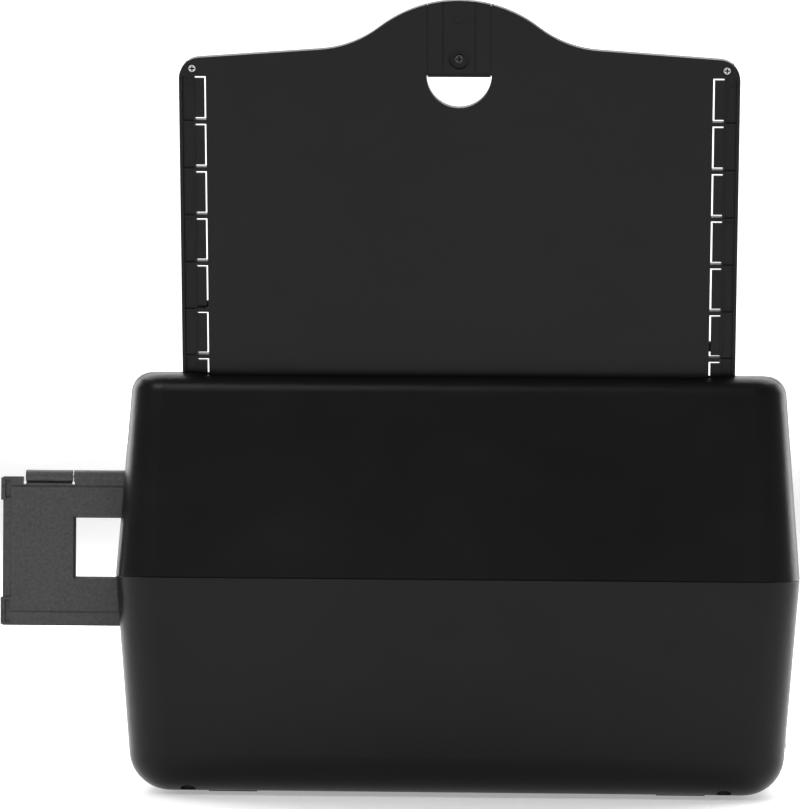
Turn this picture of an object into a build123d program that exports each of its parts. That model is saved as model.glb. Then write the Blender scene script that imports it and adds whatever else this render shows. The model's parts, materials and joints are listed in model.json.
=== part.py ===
from build123d import *

import math
import os

# Sheet-fed document scanner with a side film holder.
# Millimetres, +Z up. The sheet goes in at the top rear and comes out at the front, towards -Y.
# The model is drawn round the middle of the case, and moved on export so that its origin is the
# middle of the whole object's footprint, on the desk.

# ---------------------------------------------------------------- driving dimensions

# Case: two shells that are widest at the seam and lean in towards the top and the bottom.
case_width = 275.6
case_depth = 160.0
seam_height = 88.0
case_top = 170.0
case_low = 0.8
top_lean = 6.35
bottom_lean = 6.45
seam_corner = 17.0
top_corner = 13.0
bottom_corner = 18.0
top_rounding = 8.3
bottom_rounding = 16.6
wall = 2.5
seam_groove = 0.3
slope_start = 18.0
slope_angle = 35.0
lip_dip = 1.5
opening_top = 9.0

# Front cover, hinged low at the front between the cheeks of the case.
cover_width = 234.8
cover_gap = 0.6
cover_rear = 34.0
cover_low = 46.0
hinge_y = -69.0
hinge_z = 50.0
hinge_pin_radius = 2.0
rib_thickness = 2.5
rib_centre = 113.25

# Side plates that carry everything between the cheeks.
plate_inner = 118.5
plate_thickness = 2.5
plate_foot = 8.0

# Paper path: a 45 degree plane through (y 0, z 90). Across it, minus is the rear side.
path_height = 90.0
path_gap = 1.0
guide_thickness = 2.0
path_half_width = 110.0

# Rollers, given by their place down the path from its origin.
feed_place = -8.0
feed_radius = 10.0
exit_place = 58.0
exit_radius = 8.0
pressure_radius = 6.0
shaft_radius = 3.0
pressure_shaft_radius = 2.0
tyre_length = 24.0
tyre_centre = 20.0
nip_gap = 0.4
running_clearance = 0.04

# Gear train on the outside of one side plate.
gear_module = 1.0
feed_teeth = 30
idler_teeth = 40
exit_teeth = 24
motor_teeth = 12
gear_width = 5.0
motor_radius = 14.0
motor_length = 30.0

# Image sensor bars.
sensor_start = 12.0
sensor_width = 20.0
sensor_depth = 13.4
glass_thickness = 1.5

# Paper support: a plate that plugs into the rear of the throat and leans back.
panel_width = 222.2
panel_thickness = 4.0
panel_lean = 14.0
panel_rear = 66.1
panel_datum = 168.8
panel_rise = 152.8
panel_plug = 25.8
panel_corner = 8.4
bump_radius = 51.5
bump_angle = 37.7
blend_radius = 43.5
shoulder_slope = 4.1

# Slots down both edges of the paper support, and the comb rails in them.
window_width = 4.4
window_height = 17.6
window_pitch = 19.2
window_count = 7
window_top = 122.2
window_inner = 100.4
tongue_gap = 0.95
tongue_side_gap = 0.7
channel_width = 5.0
channel_depth = 2.6
rail_base = 1.4
panel_screw_radius = 1.6
panel_screw_height = 125.3

# Sliding extension in the middle of the paper support's top edge.
slide_width = 25.0
slide_clearance = 0.15
slide_low = 122.3
slide_tongue = 1.1
finger_radius = 12.9
finger_rise = 0.5
groove_spacing = 12.8
slide_screw_height = 129.5
slide_counterbore = 4.1
slide_screw_radius = 1.9
slide_boss_height = 146.2

# Edge guides with racks and a pinion on the front of the paper support.
rack_module = 0.8
rack_pinion_teeth = 12
rack_height = 20.0
rack_thickness = 2.0
guide_wall = 2.0
guide_reach = 12.0
guide_length = 44.0
guide_travel = 55.0
sheet_width = 216.0

# Film holder: two hinged leaves standing on edge across the case.
holder_y = 50.0
holder_end = 185.15
holder_low = 66.5
holder_high = 127.0
leaf_thickness = 2.0
leaf_gap = 0.2
barrel_radius = 2.5
barrel_height = 127.3
film_pin_radius = 0.8
film_window_length = 36.5
film_window_height = 24.0
film_window_pitch = 38.0
film_window_count = 6
film_window_margin = 29.55
film_window_low = 86.4
film_strip_height = 35.2
first_knuckle_start = 9.25
first_knuckle_length = 18.95
knuckle_length = 36.8
knuckle_gap = 0.65
notch_width = 1.1
finger_strip = 3.6
upper_lip = 9.5
lower_lip = 11.5
lip_reach = 0.8
slot_clearance = 0.4

# Output tray and its stop flap.
tray_height = 11.0
tray_thickness = 3.0
tray_width = 224.0
tray_rear = 30.0
flap_width = 60.0
flap_length = 18.0

# Buttons on the sloping front.
button_radius = 7.0
button_clearance = 0.3
button_x = 60.0
button_spacing = 24.0

# Feet and fasteners. The desk is the level that the feet stand on.
desk = -0.7
foot_length = 21.0
foot_width = 11.0
foot_x = 91.0
foot_y = 42.0
foot_seat = 1.0
screw_radius = 1.5
screw_head_radius = 2.8

# ---------------------------------------------------------------- values worked out from them

half_width = case_width / 2
half_depth = case_depth / 2
cover_half = cover_width / 2
opening_half = cover_half + cover_gap
plate_outer = plate_inner + plate_thickness
floor_top = case_low + wall
panel_half = panel_width / 2
slope_sin = math.sin(math.radians(slope_angle))
slope_cos = math.cos(math.radians(slope_angle))
lean_sin = math.sin(math.radians(panel_lean))
lean_cos = math.cos(math.radians(panel_lean))

# Local x runs along +X on all three; local y runs up the path, the panel or the slope.
path_plane = Plane(origin=(0, 0, path_height), x_dir=(1, 0, 0), z_dir=(0, -1, 1))
panel_plane = Plane(origin=(0, panel_rear, panel_datum), x_dir=(1, 0, 0), z_dir=(0, -lean_cos, lean_sin))
slope_plane = Plane(origin=(0, slope_start, case_top), x_dir=(1, 0, 0), z_dir=(0, -slope_sin, slope_cos))
slope_axis = Axis(slope_plane.origin, slope_plane.z_dir)


def path_point(place, height):
    """The (y, z) of a point down the path by place and in front of it by height."""
    point = path_plane.from_local_coords((0, -place, height))
    return point.Y, point.Z


def panel_point(along, height):
    """The (y, z) of a point up the paper support by along and in front of its rear face by height."""
    point = panel_plane.from_local_coords((0, along, height))
    return point.Y, point.Z


def case_lean(z):
    """How far the case walls have leaned in from the seam at height z."""
    if z > seam_height:
        return top_lean * (z - seam_height) / (case_top - seam_height)
    return bottom_lean * (seam_height - z) / (seam_height - case_low)


feed_y, feed_z = path_point(feed_place, -feed_radius)
exit_y, exit_z = path_point(exit_place, -exit_radius)
pressure_y, pressure_z = path_point(exit_place, pressure_radius + nip_gap)

# ---------------------------------------------------------------- small building helpers

CUT = Mode.SUBTRACT


def block(x, y, z, mode=Mode.ADD):
    """A box that spans the given (low, high) pairs."""
    with Locations(((x[0] + x[1]) / 2, (y[0] + y[1]) / 2, (z[0] + z[1]) / 2)):
        Box(x[1] - x[0], y[1] - y[0], z[1] - z[0], mode=mode)


def slab(plane, x, y, z, mode=Mode.ADD):
    """A box that spans (low, high) pairs in a tilted plane's own x, y and z."""
    with BuildSketch(plane.offset(z[0])) as face:
        with Locations(((x[0] + x[1]) / 2, (y[0] + y[1]) / 2)):
            Rectangle(x[1] - x[0], y[1] - y[0])
    extrude(face.sketch, amount=z[1] - z[0], mode=mode)


def rod_x(x, y, z, radius, mode=Mode.ADD):
    """A round bar along X between the two x values."""
    with BuildSketch(Plane.YZ.offset(x[0])) as face:
        with Locations((y, z)):
            Circle(radius)
    extrude(face.sketch, amount=x[1] - x[0], mode=mode)


def rod_y(x, y, z, radius, mode=Mode.ADD):
    """A round bar along Y between the two y values."""
    with BuildSketch(Plane.XZ.offset(-y[1])) as face:
        with Locations((x, z)):
            Circle(radius)
    extrude(face.sketch, amount=y[1] - y[0], mode=mode)


def rod_on(plane, x, y, z, radius, mode=Mode.ADD):
    """A round bar square to a plane, between two heights over it."""
    with BuildSketch(plane.offset(z[0])) as face:
        with Locations((x, y)):
            Circle(radius)
    extrude(face.sketch, amount=z[1] - z[0], mode=mode)


def profile_x(points, x, mode=Mode.ADD):
    """A prism along X from an outline of (y, z) points."""
    with BuildSketch(Plane.YZ.offset(x[0])) as face:
        Polygon(*points, align=None)
    extrude(face.sketch, amount=x[1] - x[0], mode=mode)


def both_sides(low, high):
    """The span (low, high) and its mirror image across the middle of the case."""
    return (low, high), (-high, -low)


def case_block(levels, inset):
    """A solid through rounded sections of the case, given as (height, corner radius, tuck) sets."""
    with BuildPart() as solid:
        for height, corner, tuck in levels:
            shrink = case_lean(height) + inset + tuck
            with BuildSketch(Plane.XY.offset(height)):
                RectangleRounded(case_width - 2 * shrink, case_depth - 2 * shrink, corner - inset - tuck)
        loft(ruled=True)
    return solid


def cut_slope(inset):
    """Take away everything in front of the sloping top, or of a surface inset behind it."""
    reach = case_width + case_depth
    slab(slope_plane, (-reach, reach), (-reach, reach), (-inset, reach), mode=CUT)


def involute(angle):
    return math.tan(angle) - angle


def gear_points(teeth, module, phase, backlash):
    """Outline of a spur gear, with one tooth centred on the phase angle."""
    pitch_radius = module * teeth / 2
    base_radius = pitch_radius * math.cos(math.radians(20))
    tip_radius = pitch_radius + 0.8 * module
    root_radius = pitch_radius - 1.2 * module
    half_tooth = math.pi / teeth / 2 - backlash / 2 / pitch_radius
    flank_start = max(base_radius, root_radius)
    radii = [root_radius, flank_start + 0.01, (pitch_radius + flank_start) / 2, pitch_radius, tip_radius]
    flank = []
    for radius in radii:
        turn = math.acos(min(1.0, base_radius / radius))
        flank.append((radius, half_tooth + involute(math.radians(20)) - involute(turn)))
    points = []
    for tooth in range(teeth):
        middle = math.radians(phase) + 2 * math.pi * tooth / teeth
        for radius, half_angle in flank:
            angle = middle - half_angle
            points.append((radius * math.cos(angle), radius * math.sin(angle)))
        for radius, half_angle in reversed(flank):
            angle = middle + half_angle
            points.append((radius * math.cos(angle), radius * math.sin(angle)))
    return points


def mesh_phase(teeth, phase, other_teeth, direction):
    """Phase of a gear that meshes with one of known phase, along a direction in degrees."""
    tooth_share = ((direction - phase) / (360 / teeth)) % 1.0
    return direction + 180 - (0.5 - tooth_share) * 360 / other_teeth


def gear_x(x, y, z, teeth, phase, bore, backlash=0.22):
    """A drive gear round an X axis, between the two x values."""
    with BuildSketch(Plane.YZ.offset(x[0])) as face:
        with Locations((y, z)):
            Polygon(*gear_points(teeth, gear_module, phase, backlash), align=None)
            Circle(bore, mode=CUT)
    extrude(face.sketch, amount=x[1] - x[0])


# ---------------------------------------------------------------- case shells

# The shells tuck in a little where they meet, which draws the fine line of the seam.
seam_low = (seam_height - seam_groove, seam_corner, 0)
seam_high = (seam_height + seam_groove, seam_corner, 0)
seam_edge = (seam_height, seam_corner, seam_groove)
seam_plain = (seam_height, seam_corner, 0)
lower_outside = case_block(((case_low, bottom_corner, 0), seam_low, seam_edge), 0)
upper_outside = case_block((seam_edge, seam_high, (case_top, top_corner, 0)), 0)
lower_inside = case_block(((floor_top, bottom_corner, 0), seam_plain), wall)
upper_inside = case_block((seam_plain, (case_top - wall, top_corner, 0)), wall)

with lower_outside:
    fillet(lower_outside.faces().sort_by(Axis.Z)[0].edges(), bottom_rounding)

with lower_inside:
    fillet(lower_inside.faces().sort_by(Axis.Z)[0].edges(), bottom_rounding - wall)

with upper_outside:
    fillet(upper_outside.faces().sort_by(Axis.Z)[-1].edges(), top_rounding)
    cut_slope(0)

with upper_inside:
    fillet(upper_inside.faces().sort_by(Axis.Z)[-1].edges(), top_rounding - wall)
    cut_slope(wall)

# Screw posts: two inside the rear wall, two in the cheeks at the front.
rear_post = (108.0, 64.0)
front_post_inset = 12.8
front_post = (half_width - front_post_inset, -60.0)
post_radius = 3.6
post_places = [(side * x, y) for x, y in (rear_post, front_post) for side in (-1, 1)]
post_base = 10.5

slot_y = (holder_y - barrel_radius - slot_clearance, holder_y + barrel_radius + slot_clearance)
slot_z = (holder_low - slot_clearance, barrel_height + barrel_radius + slot_clearance)

board_y = 64.0
board_thickness = 1.6
board_x = (-92.0, 60.0)
board_z = (14.0, 56.0)
board_screw_xs = (board_x[0] + 5, board_x[1] - 5)
board_screw_places = [(x, z) for x in board_screw_xs for z in (board_z[0] + 5, board_z[1] - 5)]

jack_y = (44.0, 56.0)
jack_z = (20.0, 31.0)
port_y = (22.0, 34.0)
port_z = (20.0, 26.0)
port_clearance = 0.3

with BuildPart() as lower_case:
    add(lower_outside.part)
    add(lower_inside.part, mode=CUT)
    # Open front above the tray.
    front_y = (-case_depth, -half_depth + 22)
    block((-opening_half, opening_half), front_y, (tray_height - 0.5, case_top), mode=CUT)
    # Way through both sides for the film holder.
    block((-case_width, case_width), slot_y, (slot_z[0], case_top), mode=CUT)
    # Power and data sockets.
    for y, z in ((jack_y, jack_z), (port_y, port_z)):
        hole_y = (y[0] - port_clearance, y[1] + port_clearance)
        hole_z = (z[0] - port_clearance, z[1] + port_clearance)
        block((-case_width, -half_width + 12), hole_y, hole_z, mode=CUT)
    # Seats for the feet.
    with Locations((0, 0, case_low)):
        with GridLocations(2 * foot_x, 2 * foot_y, 2, 2):
            Box(foot_length, foot_width, 2 * foot_seat, mode=CUT)
    # Pads under the side plates and rails under the tray.
    for x in both_sides(plate_inner - 1, plate_outer):
        for y in ((-46, -34), (34, 46)):
            block(x, y, (floor_top - 0.5, plate_foot))
    for x in both_sides(tray_width / 2 - 12, tray_width / 2 - 9):
        block(x, (-56, tray_rear), (floor_top - 0.5, tray_height))
    # Posts for the case screws, and standoffs for the main board.
    for x, y in post_places:
        with Locations((x, y, (post_base + seam_height) / 2)):
            Cylinder(post_radius, seam_height - post_base)
    for x in (-rear_post[0], rear_post[0]):
        web_rear = half_depth - case_lean(post_base + 6) - 1
        block((x - 1.2, x + 1.2), (rear_post[1], web_rear), (post_base + 6, seam_height))
    for x, z in board_screw_places:
        rod_y(x, (board_y + board_thickness, half_depth - case_lean(z) - wall + 1), z, 3.0)
        rod_y(x, (board_y - 1, board_y + board_thickness + 6), z, 1.1, mode=CUT)
    for x, y in post_places:
        with Locations((x, y, seam_height / 2)):
            Cylinder(screw_radius, seam_height + 2, mode=CUT)
        with Locations((x, y, post_base / 2)):
            Cylinder(screw_head_radius + 0.3, post_base, mode=CUT)

with BuildPart() as upper_case:
    add(upper_outside.part)
    add(upper_inside.part, mode=CUT)
    # Room for the front cover between the cheeks.
    room_y = (-case_depth, cover_rear + cover_gap)
    room_z = (seam_height - 1, case_top + opening_top)
    block((-opening_half, opening_half), room_y, room_z, mode=CUT)
    # Throat for the sheets, with the paper support against its rear edge.
    throat = [
        (cover_rear, case_top - 20),
        (cover_rear, case_top + opening_top),
        panel_point(opening_top, -0.5),
        panel_point(-20, -0.5),
    ]
    profile_x(throat, (-panel_half - 0.5, panel_half + 0.5), mode=CUT)
    # The rear lip dips a little behind the middle of the paper support.
    with BuildSketch(Plane.XZ.offset(-case_depth)):
        Polygon(
            (-panel_half + 2, case_top),
            (-panel_half + 13, case_top - lip_dip),
            (panel_half - 13, case_top - lip_dip),
            (panel_half - 2, case_top),
            (panel_half - 2, case_top + opening_top),
            (-panel_half + 2, case_top + opening_top),
            align=None,
        )
    extrude(amount=case_depth - panel_rear + 4, mode=CUT)
    block((-case_width, case_width), slot_y, (seam_height - 1, slot_z[1]), mode=CUT)
    # Ledges that the paper support stands on.
    ledge_z = panel_datum - panel_plug * lean_cos - 0.2
    for x in both_sides(100, opening_half - 1):
        block(x, (57, half_depth - case_lean(ledge_z) - 1), (ledge_z - 5, ledge_z))
    # Posts for the case screws.
    for x in (-rear_post[0], rear_post[0]):
        with Locations((x, rear_post[1], (seam_height + 128) / 2)):
            Cylinder(post_radius, 128 - seam_height)
        block((x - 1.2, x + 1.2), (rear_post[1], half_depth - case_lean(128) - 1), (seam_height, 128))
    for x in (-front_post[0], front_post[0]):
        with Locations((x, front_post[1], (seam_height + 111) / 2)):
            Cylinder(post_radius, 111 - seam_height)
    for x, y in post_places:
        with Locations((x, y, seam_height)):
            Cylinder(screw_radius, 2 * 12, mode=CUT)

with BuildPart() as rubber_feet:
    foot_top = case_low + foot_seat
    with Locations((0, 0, (foot_top + desk) / 2)):
        with GridLocations(2 * foot_x, 2 * foot_y, 2, 2):
            Box(foot_length, foot_width, foot_top - desk)
    chamfer(rubber_feet.faces().filter_by(Axis.Z).group_by(Axis.Z)[0].edges(), 0.8)

with BuildPart() as case_screws:
    for x, y in post_places:
        with Locations((x, y, (post_base + seam_height + 10) / 2)):
            Cylinder(screw_radius, seam_height + 10 - post_base)
        with Locations((x, y, post_base - 1.5)):
            Cylinder(screw_head_radius, 3)

# ---------------------------------------------------------------- side plates

plate_outline = [
    (-62, plate_foot),
    (60, plate_foot),
    (69, 40),
    (72, seam_height),
    (67, 160),
    (22, 161),
    (-68, 99),
    (-70, 30),
]
bush_radius = 5.0
idler_pin_radius = 2.5


def find_idler():
    """Centre of the idler gear that meshes with both roller gears, on the rear side of their line."""
    reach_feed = gear_module * (feed_teeth + idler_teeth) / 2
    reach_exit = gear_module * (exit_teeth + idler_teeth) / 2
    span_y, span_z = exit_y - feed_y, exit_z - feed_z
    span = math.hypot(span_y, span_z)
    along = (reach_feed**2 - reach_exit**2 + span**2) / (2 * span)
    aside = math.sqrt(max(0.0, reach_feed**2 - along**2))
    unit_y, unit_z = span_y / span, span_z / span
    return feed_y + unit_y * along - unit_z * aside, feed_z + unit_z * along + unit_y * aside


idler_y, idler_z = find_idler()
motor_reach = gear_module * (idler_teeth + motor_teeth) / 2
motor_y = idler_y + motor_reach * math.cos(math.radians(-45))
motor_z = idler_z + motor_reach * math.sin(math.radians(-45))


def side_plate(side):
    """A plate with bearing seats, a way through for the film holder and a hole for the hinge pin."""
    low, high = (plate_inner, plate_outer) if side > 0 else (-plate_outer, -plate_inner)
    cut = (low - 1, high + 1)
    with BuildPart() as plate:
        profile_x(plate_outline, (low, high))
        block(cut, slot_y, slot_z, mode=CUT)
        rod_x(cut, feed_y, feed_z, bush_radius, mode=CUT)
        rod_x(cut, exit_y, exit_z, bush_radius, mode=CUT)
        rod_x(cut, hinge_y, hinge_z, hinge_pin_radius, mode=CUT)
        if side < 0:
            rod_x(cut, motor_y, motor_z, 3.0, mode=CUT)
            rod_x((-plate_outer - gear_width - 2, -plate_outer), idler_y, idler_z, idler_pin_radius)
    return plate


side_plate_left = side_plate(1)
side_plate_right = side_plate(-1)

with BuildPart() as cover_hinge_pins:
    for x in both_sides(rib_centre - rib_thickness / 2 - 1, plate_outer + 0.5):
        rod_x(x, hinge_y, hinge_z, hinge_pin_radius)

with BuildPart() as shaft_bushes:
    for y, z in ((feed_y, feed_z), (exit_y, exit_z)):
        for x in both_sides(plate_inner, plate_outer):
            rod_x(x, y, z, bush_radius)
        for x in both_sides(plate_outer, plate_outer + 1):
            rod_x(x, y, z, bush_radius + 1.5)
        rod_x((-case_width, case_width), y, z, shaft_radius + running_clearance, mode=CUT)

# ---------------------------------------------------------------- paper path, rear side

chute_x = (-plate_inner, plate_inner)
chute_z = (-path_gap - guide_thickness, -path_gap)
sensor_y = (-sensor_start - sensor_width, -sensor_start)
sensor_clearance = 0.5
tyre_spans = [(x - tyre_length / 2, x + tyre_length / 2) for x in (-tyre_centre, tyre_centre)]
flag_x = 62.0
flag_place = -26.0
flag_depth = -7.0
flag_axle_radius = 1.0


def nip_window(radius, depth):
    """Half length of the slot that a roller needs where a guide passes depth from its top."""
    return math.sqrt(radius**2 - (radius - depth) ** 2) + 0.9


with BuildPart() as rear_chute:
    slab(path_plane, chute_x, (-80, 74), chute_z)
    for place, radius in ((feed_place, feed_radius), (exit_place, exit_radius)):
        half = nip_window(radius, path_gap + guide_thickness)
        for span in tyre_spans:
            slab(path_plane, (span[0] - 1, span[1] + 1), (-place - half, -place + half), (-4, 0), mode=CUT)
    slot_low, slot_high = sensor_y[0] - sensor_clearance, sensor_y[1] + sensor_clearance
    slab(path_plane, (-path_half_width - 1, path_half_width + 1), (slot_low, slot_high), (-4, 0), mode=CUT)
    # Slot and two ears for the paper sensor flag.
    slab(path_plane, (flag_x - 2.5, flag_x + 2.5), (-flag_place - 9, -flag_place + 3), (-4, 0), mode=CUT)
    for x in ((flag_x - 4.5, flag_x - 2.5), (flag_x + 2.5, flag_x + 4.5)):
        slab(path_plane, x, (-flag_place - 3, -flag_place + 3), (flag_depth - 2.5, chute_z[0]))
    flag_y, flag_z = path_point(flag_place, flag_depth)
    rod_x((flag_x - 5, flag_x + 5), flag_y, flag_z, flag_axle_radius + 0.05, mode=CUT)

with BuildPart() as sensor_flag:
    rod_x((flag_x - 4.5, flag_x + 4.5), flag_y, flag_z, flag_axle_radius)
    rod_x((flag_x - 1.5, flag_x + 1.5), flag_y, flag_z, 2.2)
    slab(path_plane, (flag_x - 1, flag_x + 1), (-flag_place - 1, -flag_place + 1), (flag_depth, 0.5))

with BuildPart() as rear_sensor_bar:
    body_z = (-path_gap - glass_thickness - sensor_depth, -path_gap - glass_thickness)
    slab(path_plane, (-plate_inner, plate_inner), sensor_y, (body_z[0], body_z[1] - 1.5))
    slab(path_plane, (-path_half_width, path_half_width), sensor_y, (body_z[1] - 1.5, body_z[1]))
    well_y = (sensor_y[0] + 4, sensor_y[1] - 4)
    slab(
        path_plane,
        (-path_half_width + 3, path_half_width - 3),
        well_y,
        (body_z[1] - 8, body_z[1]),
        mode=CUT,
    )

with BuildPart() as rear_sensor_glass:
    glass_y = (sensor_y[0] + 1, sensor_y[1] - 1)
    slab(
        path_plane,
        (-path_half_width + 1, path_half_width - 1),
        glass_y,
        (-path_gap - glass_thickness, -path_gap),
    )

# ---------------------------------------------------------------- rollers and drive

shaft_span = (-plate_outer - gear_width - 2, plate_outer + 2)
gear_x_span = (-plate_outer - 1.3 - gear_width, -plate_outer - 1.3)


def direction(from_y, from_z, to_y, to_z):
    """Direction in degrees from one gear centre to another."""
    return math.degrees(math.atan2(to_z - from_z, to_y - from_y))


feed_phase = 0.0
feed_to_idler = direction(feed_y, feed_z, idler_y, idler_z)
idler_phase = mesh_phase(feed_teeth, feed_phase, idler_teeth, feed_to_idler)
exit_phase = mesh_phase(idler_teeth, idler_phase, exit_teeth, direction(idler_y, idler_z, exit_y, exit_z))
motor_phase = mesh_phase(idler_teeth, idler_phase, motor_teeth, direction(idler_y, idler_z, motor_y, motor_z))


def tyres(y, z, radius):
    """Two grooved rubber tyres on a roller shaft."""
    with BuildPart() as pair:
        for span in tyre_spans:
            rod_x(span, y, z, radius)
            ring_edges = pair.edges().filter_by(GeomType.CIRCLE)
        chamfer(ring_edges, 0.6)
        rod_x((-case_width, case_width), y, z, shaft_radius, mode=CUT)
    return pair


with BuildPart() as feed_shaft:
    rod_x(shaft_span, feed_y, feed_z, shaft_radius)

feed_tyres = tyres(feed_y, feed_z, feed_radius)

with BuildPart() as feed_gear:
    gear_x(gear_x_span, feed_y, feed_z, feed_teeth, feed_phase, shaft_radius)

with BuildPart() as exit_shaft:
    rod_x(shaft_span, exit_y, exit_z, shaft_radius)

exit_tyres = tyres(exit_y, exit_z, exit_radius)

with BuildPart() as exit_gear:
    gear_x(gear_x_span, exit_y, exit_z, exit_teeth, exit_phase, shaft_radius)

with BuildPart() as idler_gear:
    gear_x(gear_x_span, idler_y, idler_z, idler_teeth, idler_phase, idler_pin_radius + running_clearance)

motor_shaft_radius = 1.5

with BuildPart() as drive_motor:
    rod_x((-plate_inner, -plate_inner + motor_length), motor_y, motor_z, motor_radius)
    rod_x(
        (-plate_inner, -plate_inner + 14),
        motor_y,
        motor_z,
        motor_shaft_radius + running_clearance,
        mode=CUT,
    )

with BuildPart() as motor_pinion:
    gear_x(gear_x_span, motor_y, motor_z, motor_teeth, motor_phase, motor_shaft_radius)
    # The motor's own shaft, with the pinion pressed on it.
    rod_x((gear_x_span[0] - 1, -plate_inner + 12), motor_y, motor_z, motor_shaft_radius)

# ---------------------------------------------------------------- film holder and its light and lens

windows_length = (film_window_count - 1) * film_window_pitch + film_window_length
holder_length = 2 * film_window_margin + windows_length
holder_start = holder_end - holder_length
leaf_far = (holder_y - leaf_gap / 2 - leaf_thickness, holder_y - leaf_gap / 2)
leaf_near = (holder_y + leaf_gap / 2, holder_y + leaf_gap / 2 + leaf_thickness)
film_middle = film_window_low + film_window_height / 2
film_window_spans = []
for number in range(film_window_count):
    window_end = holder_end - film_window_margin - number * film_window_pitch
    film_window_spans.append((window_end - film_window_length, window_end))


def knuckle_spans():
    """The hinge's knuckles from the outer end, turn about for the base and the lid."""
    spans = []
    end = holder_end - first_knuckle_start
    length = first_knuckle_length
    while end - length > holder_start + first_knuckle_start:
        spans.append((end - length, end))
        end = end - length - knuckle_gap
        length = knuckle_length
    return spans


knuckles = knuckle_spans()
base_knuckles = knuckles[0::2]
lid_knuckles = knuckles[1::2]


def film_leaf(own, leaf, film_side):
    """One leaf of the film holder with its own knuckles, cut back round the other leaf's."""
    with BuildPart() as piece:
        block((holder_start, holder_end), leaf, (holder_low, holder_high))
        for span in film_window_spans:
            block(span, leaf, (film_window_low, film_window_low + film_window_height), mode=CUT)
        strip_z = (film_middle - film_strip_height / 2, film_middle + film_strip_height / 2)
        block((holder_start + 6, holder_end - 6), film_side, strip_z, mode=CUT)
        relief = barrel_height - barrel_radius - 0.3
        hinge_span = (knuckles[-1][0] - notch_width, knuckles[0][1] + notch_width)
        block(hinge_span, leaf, (relief, barrel_height), mode=CUT)
        for span in own:
            block(span, leaf, (relief - 1, barrel_height))
            rod_x(span, holder_y, barrel_height, barrel_radius)
        # Round roots at the ends of the first knuckle.
        for x in (knuckles[0][0] - knuckle_gap / 2, knuckles[0][1] + notch_width / 2):
            rod_y(x, leaf, relief, 0.7, mode=CUT)
        rod_x((holder_start, holder_end), holder_y, barrel_height, film_pin_radius + 0.05, mode=CUT)
    return piece


film_base = film_leaf(base_knuckles, leaf_far, (leaf_far[1] - 0.2, leaf_far[1]))
film_lid = film_leaf(lid_knuckles, leaf_near, (leaf_near[0], leaf_near[0] + 0.2))

with film_lid:
    face_y = leaf_near[1]
    # Bevelled window edges on the outer face.
    for span in film_window_spans:
        with BuildSketch(Plane.XZ.offset(-face_y)) as bevel:
            with Locations(((span[0] + span[1]) / 2, film_middle)):
                Rectangle(film_window_length + 1.6, film_window_height + 1.6)
        extrude(bevel.sketch, amount=0.8, taper=45, mode=CUT)
    # Lower and upper border strips, a little below the grained face.
    block((holder_start, holder_end), (face_y - 0.3, face_y), (holder_low, holder_low + 5.3), mode=CUT)
    block(
        (holder_start, holder_end),
        (face_y - 0.6, face_y),
        (holder_low + 5.3, holder_low + 6.1),
        mode=CUT,
    )
    block(
        (holder_start, holder_end),
        (face_y - 0.5, face_y),
        (holder_high - 4.2, holder_high - 3.4),
        mode=CUT,
    )
    # Finger strip with a sloping edge, and corner pockets, at both ends.
    for end, inward in ((holder_end, -1), (holder_start, 1)):
        with BuildSketch(Plane.XY.offset(holder_low + lower_lip)) as strip:
            Polygon(
                (end - inward, face_y + 1),
                (end - inward, face_y - 0.7),
                (end + inward * (finger_strip - 0.6), face_y - 0.7),
                (end + inward * finger_strip, face_y),
                (end + inward * finger_strip, face_y + 1),
                align=None,
            )
        extrude(strip.sketch, amount=holder_high - upper_lip - holder_low - lower_lip, mode=CUT)
        low, high = sorted((end + inward * 0.9, end + inward * 3.2))
        lower_pocket = (holder_low + 1.2, holder_low + lower_lip - 1)
        upper_pocket = (holder_high - upper_lip + 0.8, holder_high - 1.2)
        for z in (lower_pocket, upper_pocket):
            block((low, high), (face_y - 1.1, face_y), z, mode=CUT)
    # Small lips that stand out past the end at the corners.
    for z in ((holder_low + 0.4, holder_low + lower_lip), (holder_high - upper_lip, holder_high - 0.4)):
        block((holder_end, holder_end + lip_reach), (face_y - 1.6, face_y), z)

with BuildPart() as film_hinge_pin:
    rod_x((knuckles[-1][0] + 1, knuckles[0][1] - 1), holder_y, barrel_height, film_pin_radius)

guide_rear = (slot_y[1] + 0.3, slot_y[1] + 2.3)
guide_front = (slot_y[0] - 2.5, slot_y[0] - 0.3)
lens_radius = 9.25

with BuildPart() as film_guide:
    guide_outline = [
        (guide_front[0], slot_z[0] - 6),
        (guide_rear[1], slot_z[0] - 6),
        (guide_rear[1], slot_z[1] + 1.9),
        (guide_rear[1] - 6, slot_z[1] + 1.9),
        (guide_rear[1] - 6, slot_z[1] + 0.1),
        (guide_rear[0], slot_z[1] + 0.1),
        (guide_rear[0], slot_z[0] - 0.2),
        (guide_front[1], slot_z[0] - 0.2),
        (guide_front[1], slot_z[0] + 4),
        (guide_front[0], slot_z[0] + 4),
    ]
    profile_x(guide_outline, (-plate_inner, plate_inner))
    rod_y(0, (guide_rear[0] - 1, guide_rear[1] + 1), film_middle, lens_radius, mode=CUT)

with BuildPart() as film_backlight:
    block((-25, 25), (guide_front[1] - 10, guide_front[1]), (film_middle - 15, film_middle + 15))
    block((-23, 23), (guide_front[1] - 7, guide_front[1]), (film_middle - 13, film_middle + 13), mode=CUT)
    block((-25, 25), guide_front, (slot_z[0] + 4, film_middle - 15))

with BuildPart() as film_diffuser:
    block((-23, 23), (guide_front[1] - 1.5, guide_front[1]), (film_middle - 13, film_middle + 13))

with BuildPart() as film_lens_barrel:
    rod_y(0, (guide_rear[0], guide_rear[1] + 13), film_middle, lens_radius)
    rod_y(0, (guide_rear[0], guide_rear[1] + 13), film_middle, lens_radius - 2, mode=CUT)

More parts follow.
